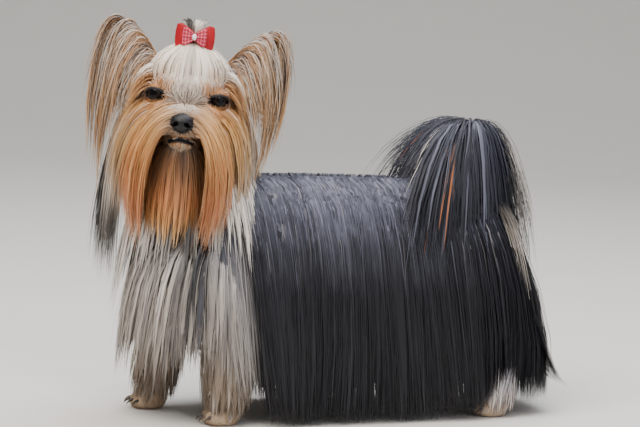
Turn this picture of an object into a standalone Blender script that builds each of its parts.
"""A life-size Yorkshire terrier in full show coat, standing, with its head turned to its left.

The dog faces -Y, its left side is +X and +Z is up. Every length is in metres.
The flesh is lofted from rings along the body, neck, tail and legs, and the head is blended from
rounded forms. The long coat is made of flat, tapered locks, set side by side on curved sheets that
run from the roots to the tips of the hair. Each node is one union, cut clear of the nodes it meets.
"""

import math
import random
from functools import partial

import bmesh
import bpy
from mathutils import Matrix, Vector

# The gap that touching nodes keep
GAP = 0.0003

# Sizes of the flesh under the coat
TORSO_STATIONS = (  # y, height of the middle, half width, half height
    (-0.127, 0.142, 0.012, 0.016),
    (-0.117, 0.143, 0.029, 0.036),
    (-0.095, 0.146, 0.041, 0.050),
    (-0.055, 0.149, 0.047, 0.0555),
    (0.000, 0.150, 0.048, 0.0545),
    (0.055, 0.153, 0.046, 0.0500),
    (0.100, 0.156, 0.044, 0.0460),
    (0.132, 0.158, 0.036, 0.0380),
    (0.148, 0.158, 0.021, 0.0230),
)
TORSO_SIDES = 18
NECK_ROOT = Vector((0.0, -0.082, 0.172))
NECK_RADII = (0.034, 0.031, 0.028, 0.026)
TAIL_ROOT = Vector((0.0, 0.134, 0.178))
TAIL_TIP = Vector((0.0, 0.146, 0.250))
TAIL_RADII = (0.009, 0.005)

# The head's own frame: origin in the middle of the skull, turned to the dog's left and tipped a little
HEAD_ORIGIN = Vector((0.004, -0.117, 0.267))
HEAD_TURN = math.radians(68)
HEAD_LIFT = math.radians(3)
HEAD_TILT = math.radians(4)

# Where each paw stands, and the size of a paw
SIDES = {"left": 1, "right": -1}
FORE_FEET = {"left": Vector((0.038, -0.085, 0)), "right": Vector((-0.040, -0.124, 0))}
HIND_FEET = {"left": Vector((0.043, 0.163, 0)), "right": Vector((-0.043, 0.148, 0))}
PAW_HALF_WIDTH, PAW_HALF_LENGTH, PAW_HEIGHT = 0.0135, 0.0155, 0.020
FORELEG_TOP_Z, HINDLEG_TOP_Z = 0.118, 0.132

# Head forms, in millimetres to the left, forward and up of the head's origin: middle, then radii
SKULL = ((0, -6, 8), (34, 36, 31))
BROW = ((0, 14, 14), (29, 18, 19))
CHEEK = ((20, 6, -12), (16, 25, 20))
MUZZLE = ((0, 38, -15), (16.5, 23, 13))
CHIN = ((0, 34, -30), (12, 21, 8))
EYE_PLACE, EYE_RADIUS = (25.0, 18.5, 6), 8.8
EYE_LOOKS = Vector((0.34, 0.94, 0.03)).normalized()
LID_HALF_WIDTH, LID_HALF_HEIGHT, LID_RADIUS = 8.0, 6.0, 1.5
NOSE_PLACE, NOSE_RADII = (0, 60.0, -14.5), (9.2, 7.5, 7.8)
MOUTH_UP = -28.5
HEAD_VOXEL = 0.0022
HEAD_TRIANGLES = 800

# Ears: base and tip of the upright leather in the head's frame, and its sizes in millimetres
EAR_BASE, EAR_TIP = Vector((37, -9, 18)), Vector((56, -9, 63))
EAR_WIDTH, EAR_THICKNESS, EAR_CUP = 36, 2.6, 9
EAR_DROOP = {"left": 0, "right": 22}

# The bow that ties the topknot
BOW_PLACE = (1, 21, 56)
BOW_WIDTH, BOW_HEIGHT = 33, 21

# The coat: where the flank's curtain starts and ends, and how far out its hem hangs
FLOOR_CLEARANCE = 0.004
SHOULDER_Y, HIP_Y = -0.086, 0.125
RUMP_SHARE = 0.36
HEM_HALF_WIDTH = 0.066
LOCK_THICKNESS = 0.0034
MAT_THICKNESS = 0.0036
MAT_STEPS = 5


def clear_scene():
    for found in list(bpy.data.objects):
        bpy.data.objects.remove(found)


def srgb(hex_code):
    """A hex colour as linear RGBA."""
    parts = [int(hex_code[i : i + 2], 16) / 255 for i in (1, 3, 5)]
    linear = [c / 12.92 if c <= 0.04045 else ((c + 0.055) / 1.055) ** 2.4 for c in parts]
    return (*linear, 1.0)


def material(name, hex_code, roughness):
    made = bpy.data.materials.new(name)
    made.use_nodes = True
    shader = made.node_tree.nodes["Principled BSDF"]
    shader.inputs["Base Color"].default_value = srgb(hex_code)
    shader.inputs["Roughness"].default_value = roughness
    made.diffuse_color = srgb(hex_code)
    return made


HEAD_MATRIX = (
    Matrix.Translation(HEAD_ORIGIN)
    @ Matrix.Rotation(HEAD_TURN, 4, "Z")
    @ Matrix.Rotation(-HEAD_LIFT, 4, "X")
    @ Matrix.Rotation(HEAD_TILT, 4, "Y")
)
HEAD_AXES = HEAD_MATRIX.to_3x3().to_4x4()


def on_head(left, forward, up):
    """A place on the head, given in millimetres to its left, forward and up."""
    return HEAD_MATRIX @ Vector((left / 1000, -forward / 1000, up / 1000))


def lerp(a, b, t):
    return a + (b - a) * t


def mesh_object(name, points, faces):
    mesh = bpy.data.meshes.new(name)
    mesh.from_pydata([tuple(p) for p in points], [], faces)
    shape = bmesh.new()
    shape.from_mesh(mesh)
    bmesh.ops.recalc_face_normals(shape, faces=shape.faces)
    shape.to_mesh(mesh)
    shape.free()
    made = bpy.data.objects.new(name, mesh)
    bpy.context.scene.collection.objects.link(made)
    return made


def loft(name, rings, sides):
    """A closed form through oval rings. Each ring is (centre, half axis, half axis)."""
    points, faces = [], []
    for centre, first, second in rings:
        for k in range(sides):
            angle = 2 * math.pi * k / sides
            points.append(centre + first * math.cos(angle) + second * math.sin(angle))
    for i in range(len(rings) - 1):
        for k in range(sides):
            a, b = i * sides + k, i * sides + (k + 1) % sides
            faces.append((a, b, b + sides, a + sides))
    faces.append(tuple(reversed(range(sides))))
    faces.append(tuple((len(rings) - 1) * sides + k for k in range(sides)))
    return mesh_object(name, points, faces)


def ball(name, matrix, radii, segments=10, rings=6):
    """An ellipsoid, with its radii along the axes of the matrix."""
    shape = bmesh.new()
    bmesh.ops.create_uvsphere(shape, u_segments=segments, v_segments=rings, radius=1)
    bmesh.ops.transform(shape, matrix=matrix @ Matrix.Diagonal((*radii, 1)), verts=shape.verts)
    mesh = bpy.data.meshes.new(name)
    shape.to_mesh(mesh)
    shape.free()
    made = bpy.data.objects.new(name, mesh)
    bpy.context.scene.collection.objects.link(made)
    return made


def tube(name, centres, radius, sides=6, closed=True):
    """A tube through a list of places, joined end to end or capped."""
    points, faces = [], []
    count = len(centres)
    middle = sum(centres, Vector()) / count
    for i, centre in enumerate(centres):
        before = centres[i - 1] if closed or i else centre
        after = centres[(i + 1) % count] if closed or i < count - 1 else centre
        along = (after - before).normalized()
        out = centre - middle
        out = (out - along * out.dot(along)).normalized()
        other = along.cross(out)
        for k in range(sides):
            angle = 2 * math.pi * k / sides
            points.append(centre + (out * math.cos(angle) + other * math.sin(angle)) * radius)
    for i in range(count if closed else count - 1):
        for k in range(sides):
            a, b = i * sides + k, i * sides + (k + 1) % sides
            c, d = ((i + 1) % count) * sides + (k + 1) % sides, ((i + 1) % count) * sides + k
            faces.append((a, b, c, d))
    if not closed:
        faces.append(tuple(reversed(range(sides))))
        faces.append(tuple((count - 1) * sides + k for k in range(sides)))
    return mesh_object(name, points, faces)


def shell(name, outer, inner, columns):
    """A closed form between two like grids of places, split into triangles alike on both sides."""
    wide = columns + 1
    rows = len(outer) // wide - 1
    offset, faces = len(outer), []
    for i in range(rows):
        for j in range(columns):
            a = i * wide + j
            b, c, d = a + 1, a + wide + 1, a + wide
            faces += [(a, b, c), (a, c, d)]
            faces += [(a + offset, c + offset, b + offset), (a + offset, d + offset, c + offset)]
    border = list(range(wide))
    border += [i * wide + columns for i in range(1, rows + 1)]
    border += [rows * wide + j for j in range(columns - 1, -1, -1)]
    border += [i * wide for i in range(rows - 1, 0, -1)]
    for k, a in enumerate(border):
        b = border[(k + 1) % len(border)]
        faces += [(b, a, a + offset), (b, a + offset, b + offset)]
    return mesh_object(name, outer + inner, faces)


def bezier(a, b, c, d, t):
    s = 1 - t
    return a * s**3 + b * (3 * s * s * t) + c * (3 * s * t * t) + d * t**3


def sheet_axes(guide, u, t, half):
    """The directions across and along a sheet of guides at u and t."""
    across = bezier(*guide(u + half), t) - bezier(*guide(u - half), t)
    along = bezier(*guide(u), t + 0.01) - bezier(*guide(u), t - 0.01)
    return across.normalized(), along.normalized()


def lock_width(part, root=0.62):
    """The share of its full width that a lock has, part of the way from root 0 to tip 1."""
    if part < 0.4:
        return lerp(root, 1, math.sin(part / 0.4 * math.pi / 2))
    return math.cos((part - 0.4) / 0.6 * math.pi / 2) ** 0.7


def lock_faces(steps):
    """The triangles of a lock of four-sided rings, alike on its two faces, and its pointed tip."""
    faces = [(3, 2, 1), (3, 1, 0)]
    for i in range(steps - 1):
        a = 4 * i
        for edge, ridge in ((0, 1), (2, 1), (2, 3), (0, 3)):
            faces += [(a + edge, a + ridge, a + 4 + ridge), (a + edge, a + 4 + ridge, a + 4 + edge)]
    last = 4 * (steps - 1)
    return faces + [(last + k, last + (k + 1) % 4, last + 4) for k in range(4)]


def sheet_lock(guide, middle, half, sway, reach, thickness, steps, grow):
    """A flat, tapered lock on a sheet of guides, which stays within its own share of the sheet."""
    points = []
    for i in range(steps):
        part = i / steps
        t, share = reach * part, lock_width(part)
        centre = middle + sway * part**2
        across, along = sheet_axes(guide, centre, t, half)
        ridge = across.cross(along).normalized() * (thickness / 2 * (0.45 + 0.55 * share) + grow)
        back = along * grow * (i == 0)
        place = bezier(*guide(centre), t) - back
        edges = [bezier(*guide(centre + sign * half * share), t) - back for sign in (-1, 1)]
        points += [edges[0] - across * grow, place + ridge, edges[1] + across * grow, place - ridge]
    tip = middle + sway
    _, along = sheet_axes(guide, tip, reach, half)
    points.append(bezier(*guide(tip), reach) + along * 2 * grow)
    return mesh_object("lock", points, lock_faces(steps))


def coat_row(guide, start, end, count, seed, grow, thickness=LOCK_THICKNESS, steps=5, shorten=0.1):
    """One row of locks side by side on a sheet, each with its own length and bend."""
    rng = random.Random(seed)
    pitch = (end - start) / count
    made = []
    for k in range(count):
        sway = rng.uniform(-0.25, 0.25) * pitch
        reach = 1 - rng.uniform(0, shorten)
        middle = start + pitch * (k + 0.5)
        half = 0.475 * pitch
        made.append(sheet_lock(guide, middle, half, sway, reach, thickness, steps, grow))
    return made


def evaluated_mesh(subject):
    graph = bpy.context.evaluated_depsgraph_get()
    graph.update()
    return bpy.data.meshes.new_from_object(subject.evaluated_get(graph))


def apply_boolean(subject, others, operation):
    """Joins closed objects to the subject or cuts them from it, and removes them."""
    if not others:
        return
    group = bpy.data.collections.new("pieces")
    for other in others:
        group.objects.link(other)
    modifier = subject.modifiers.new(operation.lower(), "BOOLEAN")
    modifier.operation = operation
    modifier.operand_type = "COLLECTION"
    modifier.collection = group
    modifier.solver = "MANIFOLD"
    result = evaluated_mesh(subject)
    subject.modifiers.clear()
    subject.data = result
    bpy.data.collections.remove(group)
    for other in others:
        bpy.data.objects.remove(other)


def keep_largest_surface(subject):
    """Drops every closed surface but the one with the largest volume."""
    shape = bmesh.new()
    shape.from_mesh(subject.data)
    unseen, islands = set(shape.verts), []
    while unseen:
        stack, island = [unseen.pop()], set()
        while stack:
            vertex = stack.pop()
            island.add(vertex)
            for edge in vertex.link_edges:
                other = edge.other_vert(vertex)
                if other in unseen:
                    unseen.discard(other)
                    stack.append(other)
        islands.append(island)

    def volume(island):
        faces = {f for v in island for f in v.link_faces}
        total = 0.0
        for face in faces:
            first = face.verts[0].co
            for i in range(1, len(face.verts) - 1):
                total += first.dot(face.verts[i].co.cross(face.verts[i + 1].co))
        return abs(total)

    kept = max(islands, key=volume)
    bmesh.ops.delete(shape, geom=[v for v in shape.verts if v not in kept], context="VERTS")
    bmesh.ops.triangulate(shape, faces=shape.faces)
    shape.to_mesh(subject.data)
    shape.free()


def torso_ring(y):
    """Height of the middle, half width and half height of the torso at y."""
    for low, high in zip(TORSO_STATIONS, TORSO_STATIONS[1:]):
        if y <= high[0]:
            t = max(0.0, (y - low[0]) / (high[0] - low[0]))
            return tuple(lerp(low[k], high[k], t) for k in (1, 2, 3))
    return TORSO_STATIONS[-1][1:]


def torso_surface(y, angle, height):
    """A place this high over the torso's surface, at an angle from the spine towards +X."""
    middle, half_width, half_height = torso_ring(y)
    left = (half_width + height) * math.sin(angle)
    return Vector((left, y, middle + (half_height + height) * math.cos(angle)))


def torso_core(grow=0.0):
    rings = []
    for k, (y, z, half_width, half_height) in enumerate(TORSO_STATIONS):
        end = (k == len(TORSO_STATIONS) - 1) - (k == 0)
        across = Vector((half_width + grow, 0, 0))
        rings.append((Vector((0, y + end * grow, z)), across, Vector((0, 0, half_height + grow))))
    return [loft("torso_core", rings, TORSO_SIDES)]


# Layers of the curtain: angle of the roots from the spine, inset of the hem, height of the roots behind
SKIRT_OUTER = (math.radians(5), 0.0, 0.182)
SKIRT_INNER = (math.radians(64), 0.0060, 0.166)


def skirt_guide(layer):
    """The curtain of back and flanks, q from -1 at the right shoulder over 0 behind to 1 on the left."""
    angle, inset, rear_root_z = layer

    def guide(q):
        side = 1 if q >= 0 else -1
        reach = abs(q)
        ahead = max(0.0, (reach - RUMP_SHARE) / (1 - RUMP_SHARE))
        behind = 1 - min(reach / RUMP_SHARE, 1)
        turn = behind * math.pi / 2
        y = lerp(HIP_Y, SHOULDER_Y, ahead)
        root = torso_surface(y, side * angle, MAT_THICKNESS / 2)
        root = root.lerp(Vector((side * 0.003, 0.148, rear_root_z)), behind)
        drift = 0.004 + 0.034 * (1 - ahead) ** 2 + 0.022 * ahead**2
        half_width = (HEM_HALF_WIDTH - inset) * math.cos(turn)
        rear = (0.070 - inset) * math.sin(turn)
        top = root.z + lerp(0.021 if inset == 0 else 0.004, 0.004, behind)
        foot_gap = 0.040 * math.exp(-(((reach - 0.33) / 0.07) ** 2))
        hem = FLOOR_CLEARANCE + 0.016 * behind + foot_gap + inset
        over = Vector((side * half_width * 0.90, y + 0.15 * drift + 0.62 * rear, top))
        above = Vector((side * half_width * 0.985, y + 0.6 * drift + 1.02 * rear, 0.098))
        tip = Vector((side * half_width, y + drift + 0.9 * rear, hem))
        return root, over, above, tip

    return guide


def apron_guide(degrees):
    """The coat of chest and shoulders, from the dog's right at -100 over its front to the left at 100."""
    turn = math.radians(degrees)
    sway, ahead = math.sin(turn), math.cos(turn)
    root = Vector((0.030 * sway, -0.090 - 0.022 * ahead, 0.158))
    over = Vector((0.052 * sway, -0.098 - 0.054 * ahead, 0.170))
    above = Vector((0.060 * sway, -0.100 - 0.062 * ahead, 0.115))
    tip = Vector((0.058 * sway, -0.100 - 0.062 * ahead, lerp(0.062, 0.048, abs(sway))))
    return root, over, above, tip


def bib_guide(degrees):
    """A shorter layer of the chest's coat, over the first."""
    root, over, above, tip = apron_guide(degrees)
    out = Vector((math.sin(math.radians(degrees)), -math.cos(math.radians(degrees)), 0))
    shorter = Vector((0, 0, 0.018))
    return root, over + out * 0.005, above + out * 0.006 + shorter, tip + out * 0.002 + 1.2 * shorter


def sweep_guide(spread):
    """The long lock that trails behind the left hind foot."""
    root = Vector((0.028 + 0.006 * spread, 0.136, 0.140))
    over = Vector((0.050 + 0.006 * spread, 0.205, 0.135))
    above = Vector((0.046 + 0.006 * spread, 0.205, 0.026))
    tip = Vector((0.030 + 0.004 * spread, 0.254, 0.019))
    return root, over, above, tip


def flank_core(side, grow=0.0):
    """Half of the body's form, as thick as the mat that one flank's locks grow from."""
    sign, thick = SIDES[side], MAT_THICKNESS + grow
    points, faces = [], []
    stations = [s for s in TORSO_STATIONS if s[0] > SHOULDER_Y]
    for k, (y, middle, half_width, half_height) in enumerate(stations):
        y += MAT_THICKNESS * (k == len(stations) - 1) + grow * ((k > 0) - (k == 0))
        inner_x = sign * (GAP - grow)
        points.append(Vector((inner_x, y, middle)))
        for step in range(MAT_STEPS + 1):
            angle = 2 * math.pi * step / TORSO_SIDES
            x = max((half_width + thick) * math.sin(angle), sign * inner_x)
            points.append(Vector((sign * x, y, middle + (half_height + thick) * math.cos(angle))))
    wide = MAT_STEPS + 2
    for i in range(len(stations) - 1):
        for k in range(wide):
            a, b = i * wide + k, i * wide + (k + 1) % wide
            faces.append((a, b, b + wide, a + wide))
    faces.append(tuple(reversed(range(wide))))
    faces.append(tuple((len(stations) - 1) * wide + k for k in range(wide)))
    return [mesh_object("mat", points, faces)]


def flank_coat(side, grow=0.0):
    ends = SIDES[side] * 0.004, SIDES[side]
    made = coat_row(skirt_guide(SKIRT_OUTER), *ends, 12, f"outer {side}", grow, shorten=0.05)
    made += coat_row(skirt_guide(SKIRT_INNER), *ends, 8, f"inner {side}", grow, steps=4)
    if side == "left":
        made += coat_row(sweep_guide, -1, 1, 2, "sweep", grow)
    return made


def torso_coat(grow=0.0):
    made = coat_row(apron_guide, -100, 100, 9, "apron", grow, steps=4)
    return made + coat_row(bib_guide, -80, 80, 6, "bib", grow, steps=4)


def neck_core(grow=0.0):
    head_end = on_head(0, -14, -18)
    rings = []
    for i, radius in enumerate(NECK_RADII):
        t = i / (len(NECK_RADII) - 1)
        bend = (NECK_ROOT + Vector((0, -0.02, 0.03)), head_end - Vector((0, 0, 0.025)))
        centre = bezier(NECK_ROOT, *bend, head_end, t)
        along = Vector((0, -0.45 * (1 - t), 1)).normalized()
        across = Vector((1, 0, 0))
        rings.append((centre, across * (radius + grow), along.cross(across) * (radius + grow)))
    return [loft("neck_core", rings, 16)]


def neck_guide(degrees):
    """The neck's fall, from the dog's right at -120 over its front at 0 to its left at 125."""
    turn = math.radians(degrees)
    sway, ahead = math.sin(turn), math.cos(turn)
    root = Vector((-0.002 + 0.018 * sway, -0.106 - 0.018 * ahead, 0.228))
    over = Vector((0.046 * sway, -0.104 - 0.046 * ahead, 0.236))
    above = Vector((0.066 * sway, -0.103 - 0.064 * ahead, 0.180))
    tip = Vector((0.0655 * sway, -0.103 - 0.067 * ahead, 0.100))
    return root, over, above, tip


def neck_coat(grow=0.0):
    made = coat_row(neck_guide, -125, 12, 8, "neck right", grow)
    return made + coat_row(neck_guide, 96, 128, 3, "neck left", grow)


def paw(foot, grow):
    """A paw with a flat sole on the floor, four toes and their claws."""
    rings = []
    for height, share in ((0.0, 0.84), (0.25, 0.98), (0.6, 1.0), (0.85, 0.85), (1.0, 0.6)):
        centre = foot + Vector((0, -0.004 * (1 - height), PAW_HEIGHT * height))
        if height == 0:
            centre.z -= grow
        across = Vector((PAW_HALF_WIDTH * share + grow, 0, 0))
        rings.append((centre, across, Vector((0, PAW_HALF_LENGTH * share + grow, 0))))
    made = [loft("paw", rings, 10)]
    for k in range(4):
        spread = (k - 1.5) / 1.5
        toe = foot + Vector((0.0092 * spread, -0.0150 + 0.0035 * abs(spread), 0.0064 + 0.0002 * k))
        radii = (0.0044 + grow, 0.0075 + grow, 0.0055 + grow)
        made.append(ball("toe", Matrix.Translation(toe), radii, 6, 4))
        made.append(claw(toe, spread, grow))
    return made


def claw(toe, spread, grow):
    """A short curved claw at the front of a toe."""
    rings = []
    for forward, height, radius in (
        (-0.002, 0.0008, 0.0013),
        (0.0075, 0.0012, 0.0011),
        (0.0105, -0.0018, 0.0005),
    ):
        centre = toe + Vector((0.12 * spread * forward, -forward, height))
        rings.append((centre, Vector((radius + grow, 0, 0)), Vector((0, 0, radius + grow))))
    return loft("claw", rings, 5)


def limb(stations, grow):
    """A leg above its paw. Each station is (place, half width, half length)."""
    rings = [
        (Vector(place), Vector((half_width + grow, 0, 0)), Vector((0, half_length + grow, 0)))
        for place, half_width, half_length in stations
    ]
    return loft("limb", rings, 10)


def feather_guide(foot, joint, root_z, radius, tip_z):
    """The hair round a leg, by its turn in degrees from the dog's back."""

    def guide(degrees):
        out = Vector((math.sin(math.radians(degrees)), math.cos(math.radians(degrees)), 0))
        centre = foot.lerp(joint, root_z / joint.z)
        centre.z = root_z
        floor = Vector((foot.x, foot.y, 0))
        root = centre + out * 0.005
        over = centre + out * radius * 0.95 + Vector((0, 0, 0.006))
        above = floor + out * radius + Vector((0, 0, lerp(tip_z, root_z, 0.4)))
        tip = floor + out * radius * 0.95 + Vector((0, 0, tip_z))
        return root, over, above, tip

    return guide


def foreleg_core(side, grow=0.0):
    foot, sign = FORE_FEET[side], SIDES[side]
    top = Vector((sign * 0.030, lerp(foot.y, -0.088, 0.6), FORELEG_TOP_Z))
    elbow = foot.lerp(top, 0.55)
    stations = (
        ((foot.x, foot.y, 0.012), 0.0105, 0.0120),
        ((foot.x, foot.y + 0.002, 0.030), 0.0085, 0.0095),
        ((foot.x, foot.y + 0.003, 0.060), 0.0095, 0.0110),
        ((elbow.x, elbow.y, 0.090), 0.0130, 0.0150),
        (tuple(top), 0.0160, 0.0200),
    )
    return [limb(stations, grow)] + paw(foot, grow)


def foreleg_coat(side, grow=0.0):
    foot, sign = FORE_FEET[side], SIDES[side]
    joint = Vector((foot.x - sign * 0.004, lerp(foot.y, -0.088, 0.3), 0.090))
    upper = feather_guide(foot, joint, 0.088, 0.0235, 0.012)
    lower = feather_guide(foot, joint, 0.050, 0.0195, 0.005)
    made = coat_row(upper, 0, 356, 7, f"upper {side}", grow, steps=4)
    return made + coat_row(lower, 22, 378, 5, f"lower {side}", grow, steps=4)


def hindleg_core(side, grow=0.0):
    foot, sign = HIND_FEET[side], SIDES[side]
    stations = (
        ((foot.x, foot.y + 0.001, 0.012), 0.0105, 0.0120),
        ((foot.x, foot.y + 0.005, 0.028), 0.0080, 0.0095),
        ((foot.x, foot.y + 0.008, 0.050), 0.0085, 0.0115),
        ((foot.x * 0.96, foot.y - 0.014, 0.075), 0.0110, 0.0150),
        ((sign * 0.038, foot.y - 0.034, 0.100), 0.0145, 0.0220),
        ((sign * 0.032, 0.110, HINDLEG_TOP_Z), 0.0165, 0.0290),
    )
    return [limb(stations, grow)] + paw(foot, grow)


def hindleg_coat(side, grow=0.0):
    foot = HIND_FEET[side]
    hock = Vector((foot.x, foot.y + 0.006, 0.056))
    feather = feather_guide(foot, hock, 0.054, 0.0185, 0.005)
    return coat_row(feather, 0, 356, 7, f"hind {side}", grow, steps=4)


def tail_core(grow=0.0):
    rings = []
    for i in range(5):
        radius = lerp(*TAIL_RADII, i / 4) + grow
        rings.append((TAIL_ROOT.lerp(TAIL_TIP, i / 4), Vector((radius, 0, 0)), Vector((0, radius, 0))))
    return [loft("tail_core", rings, 10)]


def plume_guide(side, depth=0.0):
    """The tail's plume on one side, fan from 0, falling forward over the hip, to 1 behind."""

    def guide(fan):
        out = lerp(0.0725, 0.024, max(fan, 0) ** 1.5) - depth
        reach = Vector((side * out, lerp(0.070, 0.208, fan), lerp(0.150, 0.126, fan)))
        root = TAIL_ROOT.lerp(TAIL_TIP, 0.93) + Vector((0, 0.002 * fan, -depth))
        over = Vector((side * out * 0.45, lerp(root.y, reach.y, 0.42), root.z + 0.016 - depth))
        above = Vector((side * out, lerp(root.y, reach.y, 0.96), lerp(0.226, 0.212, fan)))
        return root, over, above, reach

    return guide


def tail_coat(grow=0.0):
    made = []
    for side in SIDES.values():
        made += coat_row(plume_guide(side), 0, 1, 7, f"plume {side}", grow)
        made += coat_row(plume_guide(side, 0.005), 0.05, 0.95, 3, f"underplume {side}", grow, steps=4)
    return made


def head_ball(form, mirror=1):
    place, radii = form
    centre = Matrix.Translation(Vector((mirror * place[0], -place[1], place[2])) / 1000)
    return ball("form", HEAD_MATRIX @ centre, [r / 1000 for r in radii], 24, 14)


def blended_head(grow):
    """Skull, brow, cheeks, muzzle and chin blended into one form."""
    forms = [head_ball(f) for f in (SKULL, BROW, MUZZLE, CHIN)]
    forms += [head_ball(CHEEK, mirror) for mirror in SIDES.values()]
    core = forms.pop()
    apply_boolean(core, forms, "UNION")
    remesh = core.modifiers.new("blend", "REMESH")
    remesh.mode = "VOXEL"
    remesh.voxel_size = HEAD_VOXEL
    smooth = core.modifiers.new("soften", "SMOOTH")
    smooth.factor, smooth.iterations = 0.5, 6
    core.data = evaluated_mesh(core)
    core.modifiers.clear()
    thin = core.modifiers.new("thin", "DECIMATE")
    thin.ratio = HEAD_TRIANGLES / (2 * len(core.data.polygons))
    core.data = evaluated_mesh(core)
    core.modifiers.clear()
    if grow:
        swollen = [vertex.co + vertex.normal * grow for vertex in core.data.vertices]
        for vertex, place in zip(core.data.vertices, swollen):
            vertex.co = place
    return core


def lid_ring(side, grow):
    """The rim of the lids: an almond loop that lies on the eyeball."""
    mirror = SIDES[side]
    centre = Vector((mirror * EYE_PLACE[0], EYE_PLACE[1], EYE_PLACE[2]))
    looks = Vector((mirror * EYE_LOOKS.x, EYE_LOOKS.y, EYE_LOOKS.z))
    aside = Vector((looks.y, -looks.x, 0)).normalized()
    rise = aside.cross(looks).normalized()
    loop = []
    for k in range(14):
        angle = 2 * math.pi * k / 14
        height = LID_HALF_HEIGHT * math.sin(angle) * (1 - 0.2 * abs(math.cos(angle)))
        place = aside * LID_HALF_WIDTH * math.cos(angle) + rise * height
        depth = math.sqrt(max((EYE_RADIUS + 0.5) ** 2 - place.length_squared, 1))
        loop.append(on_head(*(centre + place + looks * depth)))
    return tube("lid", loop, LID_RADIUS / 1000 + grow, 5)


def lip_place(degrees, radius, up):
    """A place on the curve of the mouth, in the head's frame."""
    turn = math.radians(degrees)
    drop = -3.2 * (1 - math.cos(1.1 * turn)) ** 0.8
    return on_head(radius * math.sin(turn), 38.5 + 1.25 * radius * math.cos(turn), up + drop)


def lips(grow):
    """The rolled edges of the upper and the lower lip."""
    upper = [lip_place(lerp(-72, 72, k / 8), 11.5, MOUTH_UP + 2.0) for k in range(9)]
    lower = [lip_place(lerp(-66, 66, k / 8), 11.0, MOUTH_UP - 2.0) for k in range(9)]
    return [tube("lip", loop, 0.0020 + grow, 5, closed=False) for loop in (upper, lower)]


def mouth_line():
    """The cut between the lips, curved round the front of the muzzle."""
    points, faces = [], []
    steps = 9
    for k in range(steps + 1):
        degrees = lerp(-74, 74, k / steps)
        for radius, rise in ((16, 0.55), (16, -0.55), (7, -0.35), (7, 0.35)):
            points.append(lip_place(degrees, radius, MOUTH_UP + rise))
    for i in range(steps):
        for k in range(4):
            a, b = i * 4 + k, i * 4 + (k + 1) % 4
            faces.append((a, b, b + 4, a + 4))
    faces.append((3, 2, 1, 0))
    faces.append(tuple(steps * 4 + k for k in range(4)))
    return mesh_object("mouth_line", points, faces)


def head_core(grow=0.0):
    return [blended_head(grow)] + [lid_ring(side, grow) for side in SIDES] + lips(grow)


def dome_guide(degrees):
    """Hair combed up from brow, temples and nape into the topknot, by its turn from the face."""
    turn = math.radians(degrees)
    sway, ahead = math.sin(turn), math.cos(turn)
    return (
        on_head(29 * sway, -4 + 31 * ahead, 18),
        on_head(50 * sway, 2 + 39 * ahead, 31),
        on_head(27 * sway, 13 + 22 * ahead, 47),
        on_head(4 * sway, 17 + 4 * ahead, 51),
    )


def topknot_guide(degrees):
    """The tuft beyond the bow, which fans out and falls back over the crown."""
    turn = math.radians(degrees)
    sway, ahead = math.sin(turn), math.cos(turn)
    return (
        on_head(2.5 * sway, 4 + 2.5 * ahead, 34),
        on_head(3 * sway, 17 + 3 * ahead, 50),
        on_head(11 * sway, 11 + 7 * ahead, 88),
        on_head(20 * sway, -4 + 12 * ahead, 66),
    )


def moustache_guide(side):
    """Hair parted down the muzzle that falls beside the chin, v from the nose back to the cheek."""
    mirror = SIDES[side]

    def guide(v):
        return (
            on_head(mirror * lerp(7, 12, v), lerp(54, 32, v), lerp(-20, -14, v)),
            on_head(mirror * lerp(30, 43, v), lerp(61, 38, v), lerp(-10, -5, v)),
            on_head(mirror * lerp(52, 57, v), lerp(50, 35, v), -62),
            on_head(mirror * lerp(28, 45, v), lerp(48, 34, v), lerp(-128, -114, v)),
        )

    return guide


def cheek_guide(side):
    """Hair of the cheek, v from under the eye back to the ear."""
    mirror = SIDES[side]

    def guide(v):
        return (
            on_head(mirror * lerp(24, 29, v), lerp(18, -12, v), lerp(-6, -4, v)),
            on_head(mirror * lerp(44, 55, v), lerp(29, -6, v), lerp(3, 2, v)),
            on_head(mirror * lerp(62, 67, v), lerp(25, -2, v), -45),
            on_head(mirror * lerp(52, 58, v), lerp(23, 1, v), lerp(-104, -90, v)),
        )

    return guide


def beard_guide(depth):
    """Hair of the chin and throat, v from -1 at its right to 1 at its left."""

    def guide(v):
        return (
            on_head(12 * v, 40 - depth - 8 * v * v, -32),
            on_head(20 * v, 49 - depth - 12 * v * v, -46),
            on_head(26 * v, 46 - depth - 10 * v * v, -86),
            on_head(20 * v, 44 - depth - 8 * v * v, -130 + 14 * v * v + 0.8 * depth),
        )

    return guide


def nape_guide(degrees):
    """Hair that falls from the back of the skull."""
    turn = math.radians(degrees)
    sway, behind = math.sin(turn), math.cos(turn)
    return (
        on_head(24 * sway, -10 - 24 * behind, 6),
        on_head(44 * sway, -10 - 42 * behind, 14),
        on_head(50 * sway, -10 - 46 * behind, -24),
        on_head(46 * sway, -10 - 44 * behind, -58),
    )


def head_coat(grow=0.0):
    made = coat_row(dome_guide, -180, 178, 10, "dome", grow, steps=4, shorten=0.06)
    made += coat_row(topknot_guide, -180, 170, 5, "topknot", grow, steps=4, thickness=0.003)
    made += coat_row(beard_guide(0), -1, 1, 5, "beard", grow, steps=4)
    made += coat_row(beard_guide(8), -0.8, 0.8, 3, "throat", grow, steps=4)
    made += coat_row(nape_guide, -70, 70, 5, "nape", grow, steps=4)
    for side in SIDES:
        made += coat_row(moustache_guide(side), 0, 1, 3, f"moustache {side}", grow, steps=4)
        made += coat_row(cheek_guide(side), 0, 1, 3, f"cheek {side}", grow, steps=4)
    return made


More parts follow.
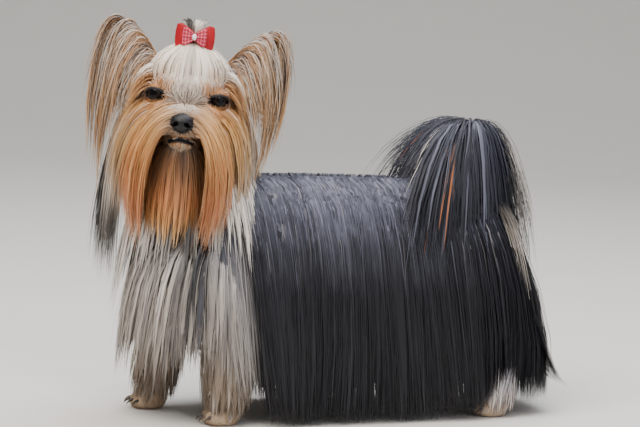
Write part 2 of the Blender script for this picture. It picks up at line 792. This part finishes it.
def ear_place(side, t, s, lift):
    """A place on an ear's leather: t from base to tip, s across from -1 to 1, lift along its normal."""
    middle = EAR_BASE.lerp(EAR_TIP, t)
    half_width = EAR_WIDTH / 2 * (1 - t) ** 0.6 * (1 + 0.25 * math.sin(t * math.pi)) + 1.5
    across, cup = s * half_width, EAR_CUP * (1 - 0.8 * t)
    left = middle.x + 0.93 * across
    forward = middle.y - 0.35 * across + cup * (s * s - 0.5) + lift
    return on_head(SIDES[side] * left, forward, middle.z)


def ear_core(side, grow=0.0):
    """The upright leather of an ear, cupped towards the front."""
    rows, columns = 6, 5
    front, back = [], []
    for i in range(rows + 1):
        rise = HEAD_AXES @ Vector((0, 0, grow * (2 * (i == rows) - (i == 0))))
        for j in range(columns + 1):
            s = (2 * j / columns - 1) * (1 + grow / 0.012)
            lift = EAR_THICKNESS / 2 + grow * 1100
            front.append(ear_place(side, i / rows, s, lift) + rise)
            back.append(ear_place(side, i / rows, s, -lift) + rise)
    return [shell("ear_leather", front, back, columns)]


def fringe_guide(side):
    """The fringe from an ear's outer edge, v from its base to its tip."""
    mirror, droop = SIDES[side], EAR_DROOP[side]

    def guide(v):
        return (
            ear_place(side, lerp(0.15, 0.92, v), 0.5, 0),
            on_head(mirror * lerp(60, 66, v), lerp(-20, -9, v), lerp(36, 83, v)),
            on_head(mirror * lerp(78, 96, v), lerp(-18, -8, v), lerp(-5, 48, v)),
            on_head(mirror * lerp(66, 80, v), lerp(-14, -6, v), lerp(-74, -42, v) - droop),
        )

    return guide


def inner_fringe_guide(side):
    """The hair of an ear's inner edge, which hangs before its cup."""
    mirror, droop = SIDES[side], EAR_DROOP[side]

    def guide(v):
        return (
            ear_place(side, lerp(0.20, 0.92, v), -0.6, 0),
            on_head(mirror * lerp(40, 62, v), lerp(6, 2, v), lerp(42, 80, v)),
            on_head(mirror * lerp(66, 84, v), lerp(4, 1, v), lerp(12, 44, v)),
            on_head(mirror * lerp(64, 74, v), 0, lerp(-58, -48, v) - droop),
        )

    return guide


def ear_coat(side, grow=0.0):
    outer, inner = fringe_guide(side), inner_fringe_guide(side)
    made = coat_row(outer, 0, 1, 5, f"fringe {side}", grow, thickness=0.0028)
    return made + coat_row(inner, 0, 1, 3, f"inner {side}", grow, thickness=0.0026, steps=4)


def eye_core(side, grow=0.0):
    left, forward, up = EYE_PLACE
    matrix = Matrix.Translation(on_head(SIDES[side] * left, forward, up)) @ HEAD_AXES
    return [ball("eyeball", matrix, [EYE_RADIUS / 1000 + grow] * 3, 14, 8)]


def nose_core(grow=0.0):
    """The nose leather, narrower below."""
    matrix = Matrix.Translation(on_head(*NOSE_PLACE)) @ HEAD_AXES
    leather = ball("leather", matrix, [r / 1000 + grow for r in NOSE_RADII], 14, 8)
    to_local = matrix.inverted()
    for vertex in leather.data.vertices:
        local = to_local @ vertex.co
        local.x *= 1 + 0.22 * min(local.z / 0.008, 0.6)
        vertex.co = matrix @ local
    return [leather]


def nostrils():
    made = []
    for mirror in SIDES.values():
        place = on_head(mirror * 4.4, NOSE_PLACE[1] + 6.4, NOSE_PLACE[2] - 0.6)
        turned = HEAD_AXES @ Matrix.Rotation(mirror * 0.55, 4, "Y")
        made.append(ball("nostril", Matrix.Translation(place) @ turned, (0.0024, 0.0042, 0.0017), 10, 6))
    return made


def ribbon_bow(half_width, half_height, depth, grow, pinch, forward):
    """A bow of flat ribbon: two puffed loops that pinch in at the middle."""
    rings = []
    for k in range(9):
        s = k / 4 - 1
        swell = pinch + (1 - pinch) * min(1, abs(s) * 1.25) ** 0.8
        puff = depth * (0.45 + 0.55 * math.sin(min(1, abs(s) * 1.1) * math.pi) ** 2)
        left = BOW_PLACE[0] + s * (half_width + 1000 * grow)
        tall = HEAD_AXES @ Vector((0, 0, half_height * swell / 1000 + grow))
        deep = HEAD_AXES @ Vector((0, puff / 1000 + grow, 0))
        rings.append((on_head(left, BOW_PLACE[1] + forward, BOW_PLACE[2]), tall, deep))
    return loft("bow", rings, 8)


def bow_ribbon(grow=0.0):
    return [ribbon_bow(BOW_WIDTH / 2, BOW_HEIGHT / 2, 4.5, grow, 0.30, 0)]


def bow_check_ribbon(grow=0.0):
    return [ribbon_bow(BOW_WIDTH * 0.40, BOW_HEIGHT * 0.33, 3.2, grow, 0.35, 3.6)]


def bow_bead(grow=0.0):
    left, forward, up = BOW_PLACE
    matrix = Matrix.Translation(on_head(left, forward + 7.4, up)) @ HEAD_AXES
    return [ball("bead", matrix, [r / 1000 + grow for r in (1.9, 1.9, 2.7)], 12, 8)]


def no_pieces(grow=0.0):
    return []


def node_list():
    """Each node: name, core, coat, further cuts, material, and whether it is inlaid in its neighbours.

    A coat is cut clear of every node before its own in the list. A node that isn't inlaid ends where
    the core of a later node starts.
    """
    tan, silver = material("tan_coat", "#B98A5C", 0.6), material("silver_coat", "#A79C90", 0.6)
    steel, eye = material("steel_coat", "#43434C", 0.55), material("eye", "#120D0B", 0.08)
    red, checks = material("red_ribbon", "#C4161F", 0.4), material("check_ribbon", "#E0808E", 0.6)
    pearl, leather = material("pearl", "#F2EBE4", 0.2), material("nose_leather", "#1B1B1F", 0.35)
    nodes = [
        ("bow_bead", bow_bead, no_pieces, no_pieces, pearl, True),
        ("bow_check_ribbon", bow_check_ribbon, no_pieces, no_pieces, checks, True),
        ("bow_ribbon", bow_ribbon, no_pieces, no_pieces, red, True),
        ("nose", nose_core, no_pieces, nostrils, leather, True),
    ]
    for side in SIDES:
        nodes.append((f"eye_{side}", partial(eye_core, side), no_pieces, no_pieces, eye, True))
    for side in SIDES:
        core, coat = partial(flank_core, side), partial(flank_coat, side)
        nodes.append((f"coat_{side}", core, coat, no_pieces, steel, False))
    for side in SIDES:
        core, coat = partial(ear_core, side), partial(ear_coat, side)
        nodes.append((f"ear_{side}", core, coat, no_pieces, tan, False))
    nodes.append(("neck", neck_core, neck_coat, no_pieces, silver, False))
    nodes.append(("head", head_core, head_coat, lambda: [mouth_line()], tan, False))
    nodes.append(("tail", tail_core, tail_coat, no_pieces, steel, False))
    legs = (("foreleg", foreleg_core, foreleg_coat), ("hindleg", hindleg_core, hindleg_coat))
    for name, core, coat in legs:
        for side in SIDES:
            forms = (partial(core, side), partial(coat, side))
            nodes.append((f"{name}_{side}", *forms, no_pieces, silver, False))
    nodes.append(("torso", torso_core, torso_coat, no_pieces, steel, False))
    return nodes


def corners(subject):
    places = [v.co for v in subject.data.vertices]
    low = Vector([min(p[k] for p in places) for k in range(3)])
    high = Vector([max(p[k] for p in places) for k in range(3)])
    return low, high


def near(box_a, box_b):
    """Whether two boxes touch."""
    (low_a, high_a), (low_b, high_b) = box_a, box_b
    return all(low_a[k] <= high_b[k] and low_b[k] <= high_a[k] for k in range(3))


def copies_near(subject, pieces):
    """Copies of those pieces whose box touches the subject's. Each piece comes with its box."""
    own, found = corners(subject), []
    for piece, box in pieces:
        if near(own, box):
            copy = bpy.data.objects.new(piece.name, piece.data)
            bpy.context.scene.collection.objects.link(copy)
            found.append(copy)
    return found


def grown_pieces(builder):
    """A builder's pieces, larger by the gap and out of the scene, each with its box."""
    pieces = builder(GAP)
    for piece in pieces:
        bpy.context.scene.collection.objects.unlink(piece)
    return [(piece, corners(piece)) for piece in pieces]


def clear_coat(coat, cores, coats, before):
    """The pieces of a coat, each cut clear of the nodes before its own."""
    parts = []
    for piece in coat():
        cutters = []
        for other in before:
            cutters += copies_near(piece, cores[other] + coats[other])
        apply_boolean(piece, cutters, "DIFFERENCE")
        if piece.data.polygons:
            parts.append(piece)
        else:
            bpy.data.objects.remove(piece)
    return parts


def finish(subject, name, look):
    keep_largest_surface(subject)
    subject.name = name
    subject.data.name = name
    subject.data.materials.clear()
    subject.data.materials.append(look)
    subject.data.shade_smooth()
    subject.data.set_sharp_from_angle(angle=math.radians(50))


def centre_on_floor(subjects):
    """Shifts the dog so that the origin is under the middle of its box, on the floor."""
    boxes = [corners(subject) for subject in subjects]
    low = [min(box[0][k] for box in boxes) for k in range(3)]
    high = [max(box[1][k] for box in boxes) for k in range(3)]
    shift = Vector((-(low[0] + high[0]) / 2, -(low[1] + high[1]) / 2, -low[2]))
    for subject in subjects:
        subject.data.transform(Matrix.Translation(shift))


def build():
    clear_scene()
    nodes = node_list()
    cores = {name: grown_pieces(core) for name, core, *_ in nodes}
    coats = {name: grown_pieces(coat) for name, _, coat, *_ in nodes}
    inlaid = {name for name, *_, inlay in nodes if inlay}
    names = [name for name, *_ in nodes]
    finished = []
    for index, (name, core, coat, cuts, look, inlay) in enumerate(nodes):
        before, after = names[:index], names[index + 1 :]
        parts = clear_coat(coat, cores, coats, before)
        subject, *rest = core()
        apply_boolean(subject, rest + parts, "UNION")
        cutters = cuts()
        for other in [] if inlay else after:
            cutters += copies_near(subject, cores[other])
        for other in before:
            if other in inlaid:
                cutters += copies_near(subject, cores[other])
        apply_boolean(subject, cutters, "DIFFERENCE")
        finish(subject, name, look)
        finished.append(subject)
    for pieces in list(cores.values()) + list(coats.values()):
        for piece, _ in pieces:
            bpy.data.objects.remove(piece)
    centre_on_floor(finished)


build()
